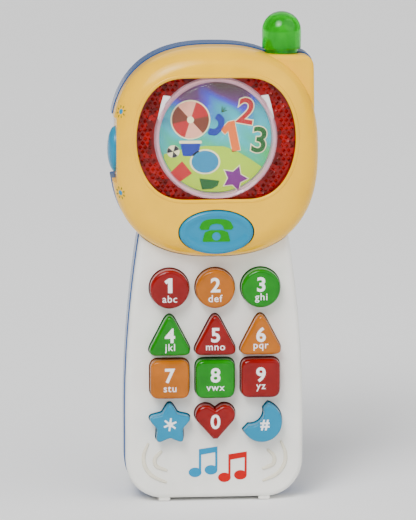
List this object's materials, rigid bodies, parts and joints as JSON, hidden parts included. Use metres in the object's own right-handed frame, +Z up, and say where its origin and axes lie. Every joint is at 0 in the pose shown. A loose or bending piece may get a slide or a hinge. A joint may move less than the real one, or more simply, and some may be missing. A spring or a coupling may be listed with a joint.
{
  "type": "toy cell phone",
  "caption": "Upright toy cell phone with a domed picture screen, shaped push keys, a call button, stub antenna and battery door.",
  "frame": {"origin": "centre of the footprint, on the plane that the feet stand on", "axes": "+Z up the phone to the antenna, the keypad faces -Y, +X is to the right seen from the front"},
  "size_m": [0.0802, 0.0396, 0.1892],
  "materials": {
    "blue_plastic": "glossy moulded ABS",
    "white_plastic": "glossy moulded ABS",
    "yellow_plastic": "glossy moulded ABS",
    "clear_green": "clear tinted polystyrene",
    "clear_lens": "clear polystyrene",
    "clear_red": "clear tinted polystyrene",
    "clear_amber": "clear tinted polystyrene",
    "teal_plastic": "glossy moulded ABS",
    "printed_film": "printed rainbow foil",
    "carrier_white": "satin",
    "silicone": "matt silicone",
    "circuit_board": "solder mask",
    "black_plastic": "satin",
    "steel": "plated",
    "paper_cone": "matt",
    "battery_wrap": "printed wrap",
    "red_wire": "insulation",
    "black_wire": "insulation",
    "led_epoxy": "clear epoxy"
  },
  "bodies": {
    "housing": {"rear_shell": "blue_plastic", "keypad_shell": "white_plastic", "head_cover": "yellow_plastic", "antenna_cap": "clear_green", "antenna_led": "led_epoxy", "screen_led_left": "led_epoxy", "screen_led_right": "led_epoxy", "screen_bezel": "clear_red", "screen_lens": "clear_lens", "screen_picture": "printed_film", "picture_carrier": "carrier_white", "light_board": "circuit_board", "main_board": "circuit_board", "keypad_mat": "silicone", "sound_chip": "black_plastic", "call_switch": "black_plastic", "side_switch": "black_plastic", "power_switch_body": "steel", "speaker_frame": "steel", "speaker_magnet": "steel", "speaker_cone": "paper_cone", "speaker_lead_left": "red_wire", "speaker_lead_right": "black_wire", "battery_left": "battery_wrap", "battery_right": "battery_wrap", "battery_bridge": "steel", "contact_positive": "steel", "contact_negative": "steel", "battery_spring_left": "steel", "battery_spring_right": "steel", "battery_lead_positive": "red_wire", "battery_lead_negative": "black_wire", "housing_screw_1": "steel", "housing_screw_2": "steel", "housing_screw_3": "steel", "housing_screw_4": "steel", "housing_screw_5": "steel", "housing_screw_6": "steel"},
    "key_1": {"key_1": "clear_red"},
    "key_2": {"key_2": "clear_amber"},
    "key_3": {"key_3": "clear_green"},
    "key_4": {"key_4": "clear_green"},
    "key_5": {"key_5": "clear_red"},
    "key_6": {"key_6": "clear_amber"},
    "key_7": {"key_7": "clear_amber"},
    "key_8": {"key_8": "clear_green"},
    "key_9": {"key_9": "clear_red"},
    "key_star": {"key_star": "teal_plastic"},
    "key_0": {"key_0": "clear_red"},
    "key_hash": {"key_hash": "teal_plastic"},
    "call_button": {"call_button": "teal_plastic"},
    "side_button": {"side_button": "teal_plastic"},
    "power_switch": {"power_switch_knob": "black_plastic"},
    "battery_door": {"battery_door": "blue_plastic", "battery_door_screw": "steel"}
  },
  "joints": [
    {"name": "key_1_press", "type": "slide", "parent": "housing", "child": "key_1", "axis": [0, 1, 0], "range_m": [0, 0.0012], "stiffness_N_per_m": 600, "springref_m": -0.0005, "deforming": ["keypad_mat"]},
    {"name": "key_2_press", "type": "slide", "parent": "housing", "child": "key_2", "axis": [0, 1, 0], "range_m": [0, 0.0012], "stiffness_N_per_m": 600, "springref_m": -0.0005, "deforming": ["keypad_mat"]},
    {"name": "key_3_press", "type": "slide", "parent": "housing", "child": "key_3", "axis": [0, 1, 0], "range_m": [0, 0.0012], "stiffness_N_per_m": 600, "springref_m": -0.0005, "deforming": ["keypad_mat"]},
    {"name": "key_4_press", "type": "slide", "parent": "housing", "child": "key_4", "axis": [0, 1, 0], "range_m": [0, 0.0012], "stiffness_N_per_m": 600, "springref_m": -0.0005, "deforming": ["keypad_mat"]},
    {"name": "key_5_press", "type": "slide", "parent": "housing", "child": "key_5", "axis": [0, 1, 0], "range_m": [0, 0.0012], "stiffness_N_per_m": 600, "springref_m": -0.0005, "deforming": ["keypad_mat"]},
    {"name": "key_6_press", "type": "slide", "parent": "housing", "child": "key_6", "axis": [0, 1, 0], "range_m": [0, 0.0012], "stiffness_N_per_m": 600, "springref_m": -0.0005, "deforming": ["keypad_mat"]},
    {"name": "key_7_press", "type": "slide", "parent": "housing", "child": "key_7", "axis": [0, 1, 0], "range_m": [0, 0.0012], "stiffness_N_per_m": 600, "springref_m": -0.0005, "deforming": ["keypad_mat"]},
    {"name": "key_8_press", "type": "slide", "parent": "housing", "child": "key_8", "axis": [0, 1, 0], "range_m": [0, 0.0012], "stiffness_N_per_m": 600, "springref_m": -0.0005, "deforming": ["keypad_mat"]},
    {"name": "key_9_press", "type": "slide", "parent": "housing", "child": "key_9", "axis": [0, 1, 0], "range_m": [0, 0.0012], "stiffness_N_per_m": 600, "springref_m": -0.0005, "deforming": ["keypad_mat"]},
    {"name": "key_star_press", "type": "slide", "parent": "housing", "child": "key_star", "axis": [0, 1, 0], "range_m": [0, 0.0012], "stiffness_N_per_m": 600, "springref_m": -0.0005, "deforming": ["keypad_mat"]},
    {"name": "key_0_press", "type": "slide", "parent": "housing", "child": "key_0", "axis": [0, 1, 0], "range_m": [0, 0.0012], "stiffness_N_per_m": 600, "springref_m": -0.0005, "deforming": ["keypad_mat"]},
    {"name": "key_hash_press", "type": "slide", "parent": "housing", "child": "key_hash", "axis": [0, 1, 0], "range_m": [0, 0.0012], "stiffness_N_per_m": 600, "springref_m": -0.0005, "deforming": ["keypad_mat"]},
    {"name": "call_button_press", "type": "slide", "parent": "housing", "child": "call_button", "axis": [0, 1, 0], "range_m": [0, 0.001], "stiffness_N_per_m": 700, "springref_m": -0.0005},
    {"name": "side_button_press", "type": "slide", "parent": "housing", "child": "side_button", "axis": [1, 0, 0], "range_m": [0, 0.001], "stiffness_N_per_m": 700, "springref_m": -0.0005},
    {"name": "power_switch_slide", "type": "slide", "parent": "housing", "child": "power_switch", "axis": [1, 0, 0], "range_m": [0, 0.004]},
    {"name": "battery_door_hinge", "type": "hinge", "parent": "housing", "child": "battery_door", "pos_m": [0.00043, 0.01945, 0.028], "axis": [-1, 0, 0], "range_deg": [0, 75]}
  ]
}
